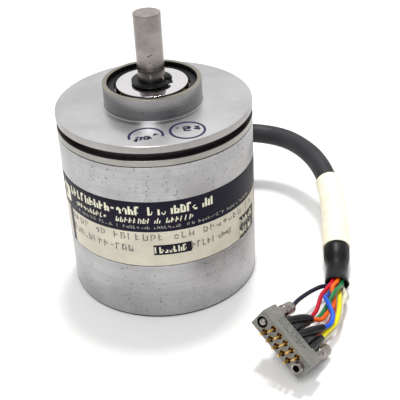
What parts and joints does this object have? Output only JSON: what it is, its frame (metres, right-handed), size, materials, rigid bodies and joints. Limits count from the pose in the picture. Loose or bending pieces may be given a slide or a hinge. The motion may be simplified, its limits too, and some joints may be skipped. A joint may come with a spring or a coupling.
{
  "type": "rotary encoder",
  "caption": "Round aluminium rotary encoder with a servo groove, pilot boss, plain shaft, short flying lead, colour-coded wires and a small rectangular connector.",
  "frame": {"origin": "centre of the cover base, on the surface it stands on", "axes": "+Z along the shaft, out of the shaft end; the lead leaves towards +X and lies towards -Y"},
  "size_m": [0.0972, 0.1282, 0.093],
  "materials": {
    "satin_aluminium": "satin, lightly scuffed",
    "steel": "ground",
    "black_steel": "black phosphate",
    "brass": "plain turned",
    "hub_aluminium": "machined",
    "disc_glass": "clear with a fine track",
    "lamp_lens": "clear moulded",
    "circuit_board": "green laminate",
    "black_plastic": "moulded",
    "white_plastic": "moulded",
    "rubber": "moulded",
    "label_film": "printed film",
    "jacket": "smooth dark grey sheath",
    "cream_sleeve": "cream tube",
    "heat_shrink": "shrunk tube",
    "grey_nylon": "moulded, glass filled",
    "jackscrew_steel": "turned",
    "gold": "gold plated",
    "wire_black": "insulation",
    "wire_red": "insulation",
    "wire_green": "insulation",
    "wire_blue": "insulation",
    "wire_orange": "insulation",
    "wire_yellow": "insulation",
    "wire_white": "insulation",
    "wire_pink": "insulation"
  },
  "bodies": {
    "housing": {"bore_retaining_ring": "black_steel", "cable_gland": "rubber", "connector_body": "grey_nylon", "contact_1": "gold", "contact_10": "gold", "contact_2": "gold", "contact_3": "gold", "contact_4": "gold", "contact_5": "gold", "contact_6": "gold", "contact_7": "gold", "contact_8": "gold", "contact_9": "gold", "cover": "satin_aluminium", "cover_o_ring": "rubber", "cover_screw_1": "steel", "cover_screw_2": "steel", "cover_screw_3": "steel", "detector_board": "circuit_board", "front_bearing_outer_ring": "steel", "front_flange": "satin_aluminium", "heat_shrink_boot": "heat_shrink", "label": "label_film", "lamp": "lamp_lens", "lead_header": "white_plastic", "lower_post_1": "brass", "lower_post_2": "brass", "lower_post_3": "brass", "main_board": "circuit_board", "marker_sleeve": "cream_sleeve", "optical_head_frame": "black_plastic", "outer_spacer": "steel", "rear_bearing_outer_ring": "steel", "reticle_mask": "black_plastic", "signal_cable": "jacket", "upper_post_1": "brass", "upper_post_2": "brass", "upper_post_3": "brass", "wave_spring": "steel", "wire_black": "wire_black", "wire_blue": "wire_blue", "wire_green": "wire_green", "wire_orange": "wire_orange", "wire_pink": "wire_pink", "wire_red": "wire_red", "wire_white": "wire_white", "wire_yellow": "wire_yellow"},
    "rotor": {"shaft": "steel", "dust_shield_disc": "steel", "shaft_retaining_ring": "black_steel", "front_bearing_inner_ring": "steel", "rear_bearing_inner_ring": "steel", "inner_spacer": "steel", "code_disc_hub": "hub_aluminium", "code_disc": "disc_glass", "code_disc_clamp": "hub_aluminium"},
    "front_cage": {"front_bearing_ball_cage": "brass"},
    "rear_cage": {"rear_bearing_ball_cage": "brass"},
    "jackscrew_left": {"jackscrew_1": "jackscrew_steel"},
    "jackscrew_right": {"jackscrew_2": "jackscrew_steel"}
  },
  "joints": [
    {"name": "shaft_spin", "type": "hinge", "parent": "housing", "child": "rotor", "pos_m": [0, 0, 0.07], "axis": [0, 0, 1], "continuous": true},
    {"name": "front_cage_spin", "type": "hinge", "parent": "housing", "child": "front_cage", "pos_m": [0, 0, 0.0641], "axis": [0, 0, 1], "continuous": true},
    {"name": "rear_cage_spin", "type": "hinge", "parent": "housing", "child": "rear_cage", "pos_m": [0, 0, 0.0403], "axis": [0, 0, 1], "continuous": true},
    {"name": "jackscrew_1_turn", "type": "hinge", "parent": "housing", "child": "jackscrew_left", "pos_m": [0.03528, -0.04927, 0.01302], "axis": [-0.5643, -0.7589, 0.3249], "continuous": true},
    {"name": "jackscrew_2_turn", "type": "hinge", "parent": "housing", "child": "jackscrew_right", "pos_m": [0.04494, -0.06007, 0.00456], "axis": [-0.5643, -0.7589, 0.3249], "continuous": true}
  ],
  "couplings": [
    {"joint": "front_cage_spin", "follows": "shaft_spin", "ratio": 0.4024},
    {"joint": "rear_cage_spin", "follows": "shaft_spin", "ratio": 0.4024}
  ]
}
